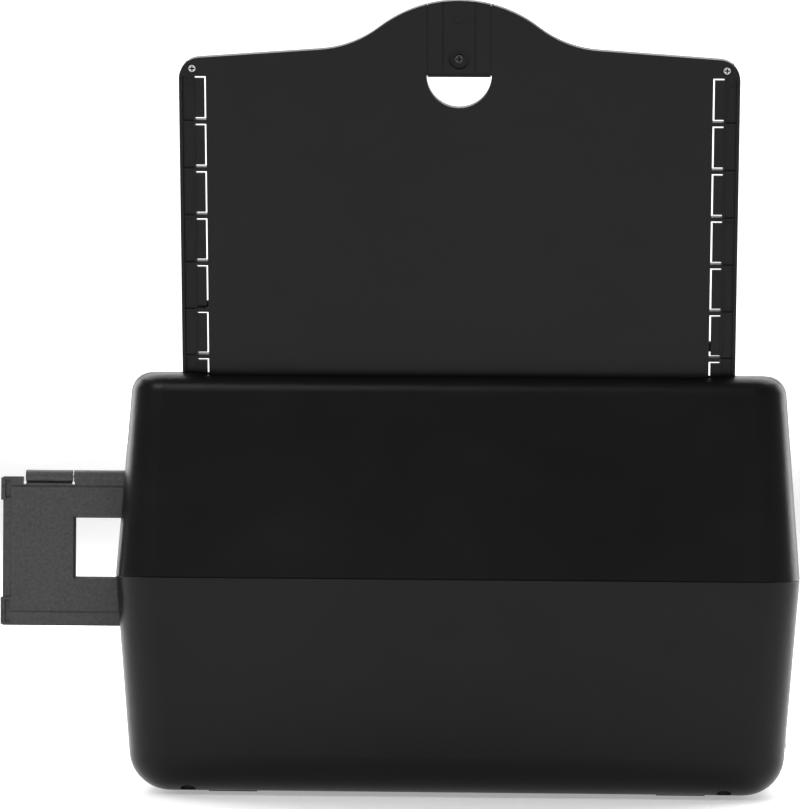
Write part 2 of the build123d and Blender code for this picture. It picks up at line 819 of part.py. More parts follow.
with BuildPart() as film_lens:
    rod_y(0, (guide_rear[0] + 3, guide_rear[0] + 6), film_middle, lens_radius - 2)

with BuildPart() as film_camera_board:
    block((-22, 22), (guide_rear[1] + 13, guide_rear[1] + 14.6), (film_middle - 19, film_middle + 19))

# ---------------------------------------------------------------- boards and sockets

with BuildPart() as main_board:
    block(board_x, (board_y, board_y + board_thickness), board_z)
    for x, z in board_screw_places:
        rod_y(x, (board_y - 1, board_y + 3), z, 1.4, mode=CUT)
    block((-60, -42), (board_y - 2, board_y), (26, 44))
    block((-20, -8), (board_y - 1.5, board_y), (30, 42))
    for x in (10, 22, 34, 46):
        block((x, x + 6), (board_y - 6, board_y), (24, 30))

with BuildPart() as board_screws:
    for x, z in board_screw_places:
        rod_y(x, (board_y - 1.4, board_y), z, 2.4)
        rod_y(x, (board_y, board_y + board_thickness + 5), z, 1.1)

socket_x = (-half_width + case_lean(25), -plate_outer)

with BuildPart() as power_jack:
    block(socket_x, jack_y, jack_z)
    rod_x((socket_x[0], socket_x[0] + 9), sum(jack_y) / 2, sum(jack_z) / 2, 3.2, mode=CUT)
    rod_x((socket_x[0] + 1, socket_x[0] + 9), sum(jack_y) / 2, sum(jack_z) / 2, 1.0)

with BuildPart() as data_port:
    block(socket_x, port_y, port_z)
    inner_y = (port_y[0] + 1.5, port_y[1] - 1.5)
    inner_z = (port_z[0] + 1.2, port_z[1] - 1.2)
    block((socket_x[0], socket_x[0] + 8), inner_y, inner_z, mode=CUT)

# ---------------------------------------------------------------- front cover and what it carries

rib_spans = both_sides(rib_centre - rib_thickness / 2, rib_centre + rib_thickness / 2)
rib_inner = rib_centre - rib_thickness / 2
slope_reach = (half_depth + slope_start) / slope_cos
button_along = -slope_reach * 0.45
button_xs = (button_x - button_spacing / 2, button_x + button_spacing / 2)
release_y = (22.0, 31.0)
release_half = 16.0

with BuildPart() as cover_room:
    block((-cover_half, cover_half), (-case_depth, cover_rear), (cover_low, case_top + opening_top))

with BuildPart() as front_cover:
    add(lower_outside.part)
    add(upper_outside.part)
    add(lower_inside.part, mode=CUT)
    add(upper_inside.part, mode=CUT)
    add(cover_room.part, mode=Mode.INTERSECT)
    # Only the part in front of the paper path belongs to the cover.
    slab(
        path_plane,
        (-case_width, case_width),
        (-case_width, case_width),
        (-case_width, path_gap),
        mode=CUT,
    )
    # Rear wall, which faces the sheets in the throat.
    rear_low = path_height + cover_rear - wall + 3
    block((-cover_half, cover_half), (cover_rear - wall, cover_rear), (rear_low, case_top - 1))

with BuildPart() as cover_ribs:
    add(lower_outside.part)
    add(upper_outside.part)
    add(cover_room.part, mode=Mode.INTERSECT)
    slab(
        path_plane,
        (-case_width, case_width),
        (-case_width, case_width),
        (-case_width, path_gap),
        mode=CUT,
    )
    block((-rib_inner, rib_inner), (-case_depth, case_depth), (0, case_top), mode=CUT)
    for x in both_sides(rib_centre + rib_thickness / 2, case_width):
        block(x, (-case_depth, case_depth), (0, case_top), mode=CUT)

pad_thickness = 1.6
spring_z = (nip_gap + pad_thickness + 3, nip_gap + pad_thickness + 16)

with front_cover:
    add(cover_ribs.part)
    # Seat for the separation pad's spring, from rib to rib.
    slab(
        path_plane,
        (-rib_inner, rib_inner),
        (-feed_place - 7, -feed_place + 7),
        (spring_z[1], spring_z[1] + 2),
    )
    rod_on(path_plane, 0, -feed_place, (spring_z[1] - 3, spring_z[1]), 2.4)
    for x in rib_spans:
        rod_x(x, hinge_y, hinge_z, 5.0)
        cut = (x[0] - 1, x[1] + 1)
        rod_x(cut, hinge_y, hinge_z, hinge_pin_radius + 0.06, mode=CUT)
        rod_x(cut, pressure_y, pressure_z, pressure_shaft_radius, mode=CUT)
    for x in button_xs:
        rod_on(slope_plane, x, button_along, (-wall - 1, 1), button_radius + button_clearance, mode=CUT)
    rod_on(slope_plane, button_x, button_along + 16, (-wall - 1, 1), 1.5, mode=CUT)
    hole_x = (-release_half - 0.4, release_half + 0.4)
    hole_y = (release_y[0] - 0.4, release_y[1] + 0.4)
    block(hole_x, hole_y, (case_top - wall - 1, case_top + 1), mode=CUT)
    # Slots in the ribs for the latch bar.
    for x in rib_spans:
        block(x, (release_y[0] - 0.4, release_y[0] + 5.4), (case_top - 16, case_top - 5.6), mode=CUT)

pad_y = (-feed_place - 11, -feed_place + 9)
pad_half = tyre_centre + tyre_length / 2 + 2

with BuildPart() as inner_guide:
    slab(path_plane, (-rib_inner, rib_inner), (-75, 40), (path_gap, path_gap + guide_thickness))
    slab(path_plane, (-pad_half - 1, pad_half + 1), (pad_y[0] - 1, pad_y[1] + 1), (0, 4), mode=CUT)
    slab(path_plane, (-path_half_width - 1, path_half_width + 1), (slot_low, slot_high), (0, 4), mode=CUT)
    half = nip_window(pressure_radius, path_gap + guide_thickness)
    for span in tyre_spans:
        slab(
            path_plane,
            (span[0] - 1, span[1] + 1),
            (-exit_place - half, -exit_place + half),
            (0, 4),
            mode=CUT,
        )

with BuildPart() as front_sensor_bar:
    body_z = (path_gap + glass_thickness, path_gap + glass_thickness + sensor_depth)
    slab(path_plane, (-path_half_width, path_half_width), sensor_y, (body_z[0], body_z[0] + 1.5))
    slab(path_plane, (-rib_inner, rib_inner), sensor_y, (body_z[0] + 1.5, body_z[1]))
    slab(
        path_plane,
        (-path_half_width + 3, path_half_width - 3),
        well_y,
        (body_z[0], body_z[0] + 8),
        mode=CUT,
    )

with BuildPart() as front_sensor_glass:
    slab(
        path_plane,
        (-path_half_width + 1, path_half_width - 1),
        glass_y,
        (path_gap, path_gap + glass_thickness),
    )

with BuildPart() as pressure_shaft:
    rod_x(
        (-rib_inner - rib_thickness, rib_inner + rib_thickness),
        pressure_y,
        pressure_z,
        pressure_shaft_radius,
    )

with BuildPart() as pressure_rollers:
    for span in tyre_spans:
        rod_x(span, pressure_y, pressure_z, pressure_radius)
    rod_x(
        (-case_width, case_width),
        pressure_y,
        pressure_z,
        pressure_shaft_radius + running_clearance,
        mode=CUT,
    )

with BuildPart() as separation_pad:
    slab(
        path_plane,
        (-pad_half + 1, pad_half - 1),
        (pad_y[0] + 1, pad_y[1] - 1),
        (nip_gap, nip_gap + pad_thickness),
    )

with BuildPart() as pad_holder:
    slab(path_plane, (-pad_half, pad_half), pad_y, (nip_gap + pad_thickness, nip_gap + pad_thickness + 3))
    rod_on(path_plane, 0, -feed_place, (nip_gap + pad_thickness + 3, nip_gap + pad_thickness + 7), 2.4)

with BuildPart() as pad_spring:
    spring_base = path_plane.from_local_coords((0, -feed_place, spring_z[0] + 0.6))
    with BuildLine() as spring_line:
        Helix(
            pitch=2.2,
            height=spring_z[1] - spring_z[0] - 1.2,
            radius=4.0,
            center=spring_base,
            direction=path_plane.z_dir,
        )
    with BuildSketch(Plane(origin=spring_line.line @ 0, z_dir=spring_line.line % 0)):
        Circle(0.5)
    sweep(is_frenet=True)

with BuildPart() as scan_button:
    rod_on(slope_plane, button_xs[0], button_along, (-wall - 3.4, 1.2), button_radius)
    rod_on(slope_plane, button_xs[0], button_along, (-wall - 1.7, -wall - 0.3), button_radius + 1.6)
    fillet(scan_button.faces().sort_by(slope_axis)[-1].edges(), 0.6)

with BuildPart() as power_button:
    rod_on(slope_plane, button_xs[1], button_along, (-wall - 3.4, 1.2), button_radius)
    rod_on(slope_plane, button_xs[1], button_along, (-wall - 1.7, -wall - 0.3), button_radius + 1.6)
    fillet(power_button.faces().sort_by(slope_axis)[-1].edges(), 0.6)

with BuildPart() as light_pipe:
    rod_on(slope_plane, button_x, button_along + 16, (-wall - 5.6, 0), 1.5)

with BuildPart() as button_board:
    slab(
        slope_plane,
        (button_x - 30, rib_inner),
        (button_along - 12, button_along + 20),
        (-wall - 7.2, -wall - 5.6),
    )

with BuildPart() as release_button:
    block((-release_half, release_half), release_y, (case_top - 8, case_top + 0.6))
    block(
        (-release_half - 2, release_half + 2),
        (release_y[0] - 1.6, release_y[1]),
        (case_top - 4.4, case_top - 3.2),
    )
    fillet(release_button.faces().sort_by(Axis.Z)[-1].edges(), 0.5)
    # Latch bar that reaches almost to both side plates.
    block(
        (-plate_inner + 0.6, plate_inner - 0.6),
        (release_y[0], release_y[0] + 5),
        (case_top - 12, case_top - 8),
    )

# ---------------------------------------------------------------- paper support

comb_inner = window_inner + window_width
comb_outer = comb_inner + channel_width
window_tops = [window_top - number * window_pitch for number in range(window_count)]
slide_half = slide_width / 2

with BuildPart() as paper_panel:
    with BuildSketch(panel_plane) as panel_face:
        with BuildLine():
            bump = JernArc((0, panel_rise), (1, 0), bump_radius, -bump_angle)
            blend = JernArc(bump @ 1, bump % 1, blend_radius, bump_angle - shoulder_slope)
            shoulder_end = blend @ 1
            drop = (panel_half - shoulder_end.X) * math.tan(math.radians(shoulder_slope))
            corner = (panel_half, shoulder_end.Y - drop)
            Line(shoulder_end, corner)
            Line(corner, (panel_half, -panel_plug))
            Line((panel_half, -panel_plug), (0, -panel_plug))
            mirror(about=Plane.YZ)
        make_face()
        for end in (0, -1):
            fillet(panel_face.vertices().group_by(Axis.X)[end].sort_by(Axis.Y)[-1], panel_corner)
    extrude(amount=panel_thickness)
    through = (-1, panel_thickness + 1)
    # Slot for the sliding extension, with a groove down each side, and the finger hole under it.
    slot_half = slide_half + slide_clearance
    slab(panel_plane, (-slot_half, slot_half), (slide_low - 0.4, panel_rise + 9), through, mode=CUT)
    groove_half = slot_half + slide_tongue
    slab(panel_plane, (-groove_half, groove_half), (slide_low + 0.2, panel_rise + 9), (1.4, 2.6), mode=CUT)
    with BuildSketch(panel_plane.offset(through[0])):
        with Locations((0, slide_low + finger_rise)):
            Circle(finger_radius)
        with Locations((0, slide_low + finger_rise + finger_radius)):
            Rectangle(2 * finger_radius + 2, 2 * finger_radius, mode=CUT)
    extrude(amount=through[1] - through[0], mode=CUT)
    # Windows, the channel for the comb rail beside them, and the hole for its screw.
    for side in (-1, 1):
        low, high = sorted((side * window_inner, side * comb_inner))
        for top in window_tops:
            slab(panel_plane, (low, high), (top - window_height, top), through, mode=CUT)
        low, high = sorted((side * (comb_inner - 0.01), side * comb_outer))
        channel_low = window_tops[-1] - window_height
        slab(panel_plane, (low, high), (channel_low, window_top), (-1, channel_depth), mode=CUT)
        low, high = sorted((side * (comb_inner - 1.4), side * (comb_outer - 1.2)))
        tab_y = (window_top - 2.0, panel_screw_height + 2.6)
        slab(panel_plane, (low, high), tab_y, (2.0, panel_thickness + 1), mode=CUT)
        screw_x = side * (comb_inner + 1.0)
        rod_on(panel_plane, screw_x, panel_screw_height, (-1, 0.6), panel_screw_radius + 0.2, mode=CUT)
        rod_on(panel_plane, screw_x, panel_screw_height, (0, 3), 0.9, mode=CUT)
    # Pin for the pinion of the edge guides.
    rod_on(panel_plane, 0, rack_height, (panel_thickness - 1, panel_thickness + rack_thickness + 0.4), 1.5)


def comb_rail(side):
    """A rail along the paper support's edge, with a tongue for every window and ribs between them."""
    fit = 0.1

    def across(low, high):
        return tuple(sorted((side * low, side * high)))

    with BuildPart() as rail:
        channel_low = window_tops[-1] - window_height
        span = (channel_low + fit, window_top - fit)
        base_z = (channel_depth - rail_base, channel_depth)
        slab(panel_plane, across(comb_inner + fit, comb_outer - fit), span, base_z)
        slab(panel_plane, across(comb_inner + fit, comb_inner + 0.7), span, (0.3, channel_depth))
        for top in window_tops:
            tongue_y = (top - window_height + tongue_gap, top - tongue_gap)
            tongue_x = across(window_inner + tongue_side_gap, comb_inner + fit + 0.2)
            slab(panel_plane, tongue_x, tongue_y, (0.7, channel_depth))
            rib_y = top - window_height - (window_pitch - window_height) / 2
            if rib_y > channel_low:
                rib = (rib_y - 0.35, rib_y + 0.35)
                slab(panel_plane, across(comb_inner + fit, comb_outer - fit), rib, (0.2, channel_depth))
        tab_x = across(comb_inner - 1.3, comb_outer - 1.3)
        slab(
            panel_plane,
            across(comb_inner + fit, comb_outer - 1.3),
            (window_top - 1.9, window_top - fit),
            (1.3, 3.9),
        )
        slab(panel_plane, tab_x, (window_top - fit - 0.2, panel_screw_height + 2.5), (2.1, 3.9))
        rod_on(panel_plane, side * (comb_inner + 1.0), panel_screw_height, (2, 3.4), 0.9, mode=CUT)
        for height in (window_top - 4.2, window_tops[3] - 1.5):
            rod_on(panel_plane, side * (comb_outer - 1.9), height, (0.9, channel_depth), 1.0)
    return rail


comb_rail_left = comb_rail(1)
comb_rail_right = comb_rail(-1)

with BuildPart() as panel_screws:
    for side in (-1, 1):
        screw_x = side * (comb_inner + 1.0)
        rod_on(panel_plane, screw_x, panel_screw_height, (0.0, 0.6), panel_screw_radius)
        rod_on(panel_plane, screw_x, panel_screw_height, (0.6, 3.2), 0.9)
        for size in ((1.9, 0.45), (0.45, 1.9)):
            x_span = (screw_x - size[0] / 2, screw_x + size[0] / 2)
            y_span = (panel_screw_height - size[1] / 2, panel_screw_height + size[1] / 2)
            slab(panel_plane, x_span, y_span, (-0.1, 0.35), mode=CUT)

with BuildPart() as extension_slide:
    with BuildSketch(panel_plane.offset(0.1)):
        with Locations((0, panel_rise - bump_radius)):
            Circle(bump_radius)
        with Locations((0, (slide_low + panel_rise) / 2)):
            Rectangle(slide_width, panel_rise - slide_low, mode=Mode.INTERSECT)
    extrude(amount=panel_thickness - 0.2)
    tongue_half = slide_half + slide_tongue - 0.05
    slab(panel_plane, (-tongue_half, tongue_half), (slide_low + 0.5, panel_rise - 2.4), (1.5, 2.5))
    for x in (-groove_spacing / 2, groove_spacing / 2):
        slab(panel_plane, (x - 0.25, x + 0.25), (slide_low + 1.4, panel_rise + 1), (-1, 0.5), mode=CUT)
    slab(panel_plane, (-slide_half, slide_half), (slide_low + 0.9, slide_low + 1.4), (-1, 0.4), mode=CUT)
    rod_on(panel_plane, 0, slide_screw_height, (-1, 1.3), slide_counterbore, mode=CUT)
    rod_on(panel_plane, 0, slide_screw_height, (1, 3.0), 1.1, mode=CUT)
    rod_on(panel_plane, 0, slide_boss_height, (-1, 0.3), 2.4, mode=CUT)

with BuildPart() as extension_screw:
    rod_on(panel_plane, 0, slide_screw_height, (0.4, 1.3), slide_screw_radius)
    rod_on(panel_plane, 0, slide_screw_height, (1.3, 2.9), 1.1)
    for size in ((2.2, 0.5), (0.5, 2.2)):
        y_span = (slide_screw_height - size[1] / 2, slide_screw_height + size[1] / 2)
        slab(panel_plane, (-size[0] / 2, size[0] / 2), y_span, (0, 0.9), mode=CUT)

# ---------------------------------------------------------------- edge guides

pinion_pitch = rack_module * rack_pinion_teeth / 2
rack_z = (panel_thickness + 0.1, panel_thickness + 0.1 + rack_thickness)
rack_root = pinion_pitch + 1.2 * rack_module
bar_width = 4.0
guide_x = sheet_width / 2


def edge_guide(side):
    """A fence along the sheets' edge on a toothed bar that passes the pinion."""
    tooth = math.pi * rack_module
    thin = tooth / 2 - 0.3
    spread = rack_module * math.tan(math.radians(20))
    with BuildPart() as fence:
        low, high = sorted((side * -3.0, side * (guide_x + guide_wall)))
        bar_ends = (rack_height + side * rack_root, rack_height + side * (rack_root + bar_width))
        bar_low, bar_high = sorted(bar_ends)
        slab(panel_plane, (low, high), (bar_low, bar_high), rack_z)
        with BuildSketch(panel_plane.offset(rack_z[0])):
            for number in range(int((guide_travel + 9) / tooth)):
                place = side * (number * tooth + tooth / 2)
                tip = rack_height + side * (pinion_pitch - 0.8 * rack_module)
                root = rack_height + side * (rack_root + 0.1)
                Polygon(
                    (place - thin / 2 + 0.8 * spread, tip),
                    (place + thin / 2 - 0.8 * spread, tip),
                    (place + thin / 2 + 1.2 * spread, root),
                    (place - thin / 2 - 1.2 * spread, root),
                    align=None,
                )
        extrude(amount=rack_thickness)
        wall_x = tuple(sorted((side * guide_x, side * (guide_x + guide_wall))))
        slab(panel_plane, wall_x, (bar_low, bar_high), (rack_z[0], rack_z[1] + 1))
        slab(panel_plane, wall_x, (3, 3 + guide_length), (rack_z[1] + 0.4, rack_z[1] + guide_reach))
    return fence


edge_guide_left = edge_guide(1)
edge_guide_right = edge_guide(-1)

with BuildPart() as guide_pinion:
    with BuildSketch(panel_plane.offset(rack_z[0])):
        with Locations((0, rack_height)):
            Polygon(*gear_points(rack_pinion_teeth, rack_module, 90, 0.3), align=None)
            Circle(1.5 + running_clearance, mode=CUT)
    extrude(amount=rack_thickness)

with BuildPart() as guide_cover:
    cover_half_height = rack_root + bar_width + 2.2
    cover_y = (rack_height - cover_half_height, rack_height + cover_half_height)
    slab(panel_plane, (-42, 42), cover_y, (panel_thickness, rack_z[1] + 1.5))
    channel_y = (cover_y[0] + 2.0, cover_y[1] - 2.0)
    slab(panel_plane, (-43, 43), channel_y, (panel_thickness - 1, rack_z[1] + 0.3), mode=CUT)

# ---------------------------------------------------------------- output tray

tray_z = (tray_height, tray_height + tray_thickness)
tray_front = -half_depth + case_lean(tray_height) + 1.5
flap_y = tray_front + 5.0
flap_pin_radius = 1.0
flap_z = tray_height + tray_thickness / 2

with BuildPart() as output_tray:
    block((-tray_width / 2, tray_width / 2), (tray_front, tray_rear), tray_z)
    flap_hole = (-flap_width / 2 - 0.4, flap_width / 2 + 0.4)
    block(flap_hole, (flap_y - 2, flap_y + flap_length + 0.6), (tray_z[0] - 1, tray_z[1] + 1), mode=CUT)
    rod_x((-flap_width / 2 - 4, flap_width / 2 + 4), flap_y, flap_z, flap_pin_radius + 0.05, mode=CUT)

with BuildPart() as stop_flap:
    block(
        (-flap_width / 2, flap_width / 2),
        (flap_y, flap_y + flap_length),
        (tray_z[0] + 0.2, tray_z[1] - 0.2),
    )
    rod_x((-flap_width / 2, flap_width / 2), flap_y, flap_z, flap_pin_radius + 0.3)
    rod_x((-flap_width / 2 - 3.5, flap_width / 2 + 3.5), flap_y, flap_z, flap_pin_radius)

# ---------------------------------------------------------------- export

pieces = {
    "lower_case": lower_case,
    "upper_case": upper_case,
    "rubber_feet": rubber_feet,
    "case_screws": case_screws,
    "side_plate_left": side_plate_left,
    "side_plate_right": side_plate_right,
    "cover_hinge_pins": cover_hinge_pins,
    "shaft_bushes": shaft_bushes,
    "rear_chute": rear_chute,
    "sensor_flag": sensor_flag,
    "rear_sensor_bar": rear_sensor_bar,
    "rear_sensor_glass": rear_sensor_glass,
    "feed_shaft": feed_shaft,
    "feed_tyres": feed_tyres,
    "feed_gear": feed_gear,
    "exit_shaft": exit_shaft,
    "exit_tyres": exit_tyres,
    "exit_gear": exit_gear,
    "idler_gear": idler_gear,
    "drive_motor": drive_motor,
    "motor_pinion": motor_pinion,
    "film_base": film_base,
    "film_lid": film_lid,
    "film_hinge_pin": film_hinge_pin,
    "film_guide": film_guide,
    "film_backlight": film_backlight,
    "film_diffuser": film_diffuser,
    "film_lens_barrel": film_lens_barrel,
    "film_lens": film_lens,
    "film_camera_board": film_camera_board,
    "main_board": main_board,
    "board_screws": board_screws,
    "power_jack": power_jack,
    "data_port": data_port,
    "front_cover": front_cover,
    "inner_guide": inner_guide,
    "front_sensor_bar": front_sensor_bar,
    "front_sensor_glass": front_sensor_glass,
    "pressure_shaft": pressure_shaft,
    "pressure_rollers": pressure_rollers,
    "separation_pad": separation_pad,
    "pad_holder": pad_holder,
    "pad_spring": pad_spring,
    "scan_button": scan_button,
    "power_button": power_button,
    "light_pipe": light_pipe,
    "button_board": button_board,
    "release_button": release_button,
    "paper_panel": paper_panel,
    "comb_rail_left": comb_rail_left,
    "comb_rail_right": comb_rail_right,
    "panel_screws": panel_screws,
    "extension_slide": extension_slide,
    "extension_screw": extension_screw,
    "edge_guide_left": edge_guide_left,
    "edge_guide_right": edge_guide_right,
    "guide_pinion": guide_pinion,
    "guide_cover": guide_cover,
    "output_tray": output_tray,
    "stop_flap": stop_flap,
}

whole = Compound(children=[Compound(piece.part.wrapped) for piece in pieces.values()]).bounding_box()
origin = Vector((whole.min.X + whole.max.X) / 2, (whole.min.Y + whole.max.Y) / 2, whole.min.Z)

os.makedirs("parts", exist_ok=True)
for name, piece in pieces.items():
    placed = piece.part.moved(Location(-origin))
    placed.label = name
    export_step(placed, f"parts/{name}.step")
print("pieces", len(pieces), "origin", origin, "size", whole.size)
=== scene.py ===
# %% [markdown]
# # A sheet-fed scanner, seen from behind
# The CAD model is the skeleton: it holds every size, joint and fit. This lesson dresses it.
# Each node gets a finish of its own, and the small things that catch the eye, such as screw heads,
# ribs and grips, are made on top of it.

# %% Load the frame
import json
import math

import bpy
from mathutils import Matrix, Vector


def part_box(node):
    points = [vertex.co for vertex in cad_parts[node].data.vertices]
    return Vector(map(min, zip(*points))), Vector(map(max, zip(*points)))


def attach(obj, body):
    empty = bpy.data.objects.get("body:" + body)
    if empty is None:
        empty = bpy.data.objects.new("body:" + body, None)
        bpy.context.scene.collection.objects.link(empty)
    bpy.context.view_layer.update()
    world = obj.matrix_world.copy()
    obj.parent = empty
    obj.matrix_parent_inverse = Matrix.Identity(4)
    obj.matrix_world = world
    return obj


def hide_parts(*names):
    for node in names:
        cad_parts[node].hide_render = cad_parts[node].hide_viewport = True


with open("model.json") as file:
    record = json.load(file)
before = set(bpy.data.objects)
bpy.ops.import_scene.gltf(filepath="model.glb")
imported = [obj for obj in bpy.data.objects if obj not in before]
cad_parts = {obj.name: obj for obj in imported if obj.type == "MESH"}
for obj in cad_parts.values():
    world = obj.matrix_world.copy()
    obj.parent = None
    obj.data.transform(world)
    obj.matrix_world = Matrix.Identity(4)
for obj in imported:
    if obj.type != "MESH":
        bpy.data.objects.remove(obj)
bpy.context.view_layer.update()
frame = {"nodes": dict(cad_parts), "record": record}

MM = 0.001
nodes = frame["nodes"]

# %% [markdown]
# ## Shader maths as plain expressions
# A material is a graph of nodes, but a formula is easier to read. A small class wraps a socket, so
# that `1 - mask * 0.5` adds the Math nodes by itself. Any other node comes from one method.


# %% Shader helper
class Socket:
    """An output socket that takes part in arithmetic by adding Math nodes to its tree."""

    def __init__(self, finish, socket):
        self.finish = finish
        self.socket = socket

    def calculate(self, operation, first, second):
        made = self.finish.node("ShaderNodeMath", {"operation": operation}, {0: first, 1: second})
        return made.out("Value")

    def __add__(self, other):
        return self.calculate("ADD", self, other)

    def __radd__(self, other):
        return self.calculate("ADD", other, self)

    def __rsub__(self, other):
        return self.calculate("SUBTRACT", other, self)

    def __mul__(self, other):
        return self.calculate("MULTIPLY", self, other)

    def __rmul__(self, other):
        return self.calculate("MULTIPLY", other, self)


class Node:
    """A node that was added to a finish, with its outputs by name."""

    def __init__(self, finish, node):
        self.finish = finish
        self.made = node

    def out(self, name):
        return Socket(self.finish, self.made.outputs[name])


class Finish:
    """A material whose main shader is ready and whose pattern is built with node() and arithmetic."""

    def __init__(self, name, base, rough, metal=0.0, **constants):
        self.material = bpy.data.materials.new(name)
        self.material.use_nodes = True
        self.tree = self.material.node_tree
        self.shader = self.tree.nodes["Principled BSDF"]
        self.shader.inputs["Base Color"].default_value = (*base, 1.0)
        self.shader.inputs["Roughness"].default_value = rough
        self.shader.inputs["Metallic"].default_value = metal
        for socket, value in constants.items():
            self.shader.inputs[socket.replace("_", " ")].default_value = value
        self.place = self.node("ShaderNodeTexCoord", {}, {}).out("Object")

    def node(self, kind, settings, inputs):
        """Add a node: its settings first, then the values or links of its sockets."""
        made = self.tree.nodes.new(kind)
        for key, value in settings.items():
            if key == "stops":
                ramp = made.color_ramp
                while len(ramp.elements) < len(value):
                    ramp.elements.new(0.5)
                for element, (position, colour) in zip(ramp.elements, value):
                    element.position = position
                    element.color = (*colour, 1.0)
            else:
                setattr(made, key, value)
        for key, value in inputs.items():
            if isinstance(value, Socket):
                self.tree.links.new(value.socket, made.inputs[key])
            else:
                made.inputs[key].default_value = value
        return Node(self, made)

    def feed(self, name, value):
        self.tree.links.new(value.socket, self.shader.inputs[name])

    def noise(self, scale, detail=2.0, rough=0.5, stretch=(1, 1, 1)):
        """Smooth noise, scale cells to the metre, squeezed along the axes by stretch."""
        squeezed = {"Vector": self.place, "Scale": stretch}
        spot = self.node("ShaderNodeMapping", {}, squeezed).out("Vector")
        inputs = {"Vector": spot, "Scale": scale, "Detail": detail, "Roughness": rough}
        return self.node("ShaderNodeTexNoise", {}, inputs).out("Fac")

    def cells(self, scale, feature="F1"):
        inputs = {"Vector": self.place, "Scale": scale}
        return self.node("ShaderNodeTexVoronoi", {"feature": feature}, inputs).out("Distance")

    def blend(self, low, high, share):
        """A colour that runs from low to high as share goes from 0 to 1."""
        stops = [(0.0, low), (1.0, high)]
        return self.node("ShaderNodeValToRGB", {"stops": stops}, {"Fac": share}).out("Color")

    def spread(self, value, low, high):
        """Stretch the middle of a noise, low to high, over 0 to 1."""
        inputs = {"Value": value, "From Min": low, "From Max": high}
        return self.node("ShaderNodeMapRange", {}, inputs).out("Result")

    def bump(self, height, depth, strength=1.0):
        """Raise the surface by depth metres where height is 1."""
        inputs = {"Height": height, "Distance": depth, "Strength": strength}
        self.feed("Normal", self.node("ShaderNodeBump", {}, inputs).out("Normal"))


# %% [markdown]
# ## The camera
# The rear of the case is seen almost square on, through a long lens that keeps the sides parallel.
# The camera stands at the height of the case top and is turned a little, so its axes are worked out
# from the turn, the tilt and the lean of the horizon.

# %% Camera
camera_spot = Vector((-0.0603, 1.8684, 0.1777))
camera_turn = math.radians(1.883)
camera_tilt = math.radians(0.569)
camera_lean = math.radians(0.408)
camera_lens = 200.7
frame_rise = -0.00425

ahead = Vector((math.sin(camera_turn), -math.cos(camera_turn), 0)) * math.cos(camera_tilt)
ahead.z = -math.sin(camera_tilt)
level = Vector((-math.cos(camera_turn), -math.sin(camera_turn), 0))
upward = level.cross(ahead)
across = level * math.cos(camera_lean) + upward * math.sin(camera_lean)
upward = upward * math.cos(camera_lean) - level * math.sin(camera_lean)

camera_data = bpy.data.cameras.new("rear_camera")
camera_data.lens = camera_lens
camera_data.sensor_width = 36.0
camera_data.shift_y = frame_rise
camera_data.clip_end = 50.0
camera = bpy.data.objects.new("rear_camera", camera_data)
bpy.context.scene.collection.objects.link(camera)
turned = Matrix((across, upward, -ahead)).transposed().to_4x4()
camera.matrix_world = Matrix.Translation(camera_spot) @ turned
bpy.context.scene.camera = camera
bpy.context.scene.view_settings.view_transform = "Standard"
print("camera lens", camera_lens, "at", tuple(round(v, 3) for v in camera_spot))

# %% [markdown]
# ## Light
# A dark satin object is drawn by what it reflects. Bright walls behind it and at both sides put the
# thin white lines on its rounded edges, and the room behind the camera stays dim, so the flat rear
# stays nearly black.


# %% Lights
def soft_light(name, spot, aim, width, height, power, tint=(1, 1, 1)):
    """A rectangular soft box that faces the point aim."""
    data = bpy.data.lights.new(name, "AREA")
    data.shape = "RECTANGLE"
    data.size = width
    data.size_y = height
    data.energy = power
    data.color = tint
    lamp = bpy.data.objects.new(name, data)
    bpy.context.scene.collection.objects.link(lamp)
    lamp.location = spot
    lamp.rotation_euler = (Vector(aim) - Vector(spot)).to_track_quat("-Z", "Y").to_euler()
    return lamp


middle = (0.0, 0.0, 0.12)
wall_width, wall_height, wall_power = 1.1, 1.6, 26
soft_light("left_wall", (1.6, -1.05, 0.5), middle, wall_width, wall_height, wall_power)
soft_light("right_wall", (-1.6, -1.05, 0.5), middle, wall_width, wall_height, wall_power)
soft_light("top_panel", (0.0, -0.5, 1.3), middle, 2.2, 1.2, 42)
soft_light("camera_side", (0.9, 2.0, 1.7), middle, 1.4, 1.0, 26)

world = bpy.data.worlds.new("studio")
world.use_nodes = True
bpy.context.scene.world = world
world.node_tree.nodes["Background"].inputs["Color"].default_value = (1, 1, 1, 1)
world.node_tree.nodes["Background"].inputs["Strength"].default_value = 0.16


def stage_plane(name, corners, base, glow):
    """A plain pale surface of the studio."""
    mesh = bpy.data.meshes.new(name)
    mesh.from_pydata(corners, [], [(0, 1, 2, 3)])
    plane = bpy.data.objects.new(name, mesh)
    bpy.context.scene.collection.objects.link(plane)
    finish = Finish(name + "_paint", base, 0.9)
    finish.shader.inputs["Emission Color"].default_value = (1, 1, 1, 1)
    finish.shader.inputs["Emission Strength"].default_value = glow
    mesh.materials.append(finish.material)
    return plane


reach = 8.0
floor_corners = [(-reach, -reach, 0), (reach, -reach, 0), (reach, reach, 0), (-reach, reach, 0)]
stage_plane("floor", floor_corners, (0.85, 0.85, 0.85), 0.36)
rear = -7.0
tall = 9.0
wide = 14.0
wall_corners = [(wide, rear, -0.1), (-wide, rear, -0.1), (-wide, rear, tall), (wide, rear, tall)]
stage_plane("backdrop", wall_corners, (0.9, 0.9, 0.9), 1.0)
print("stage ready")

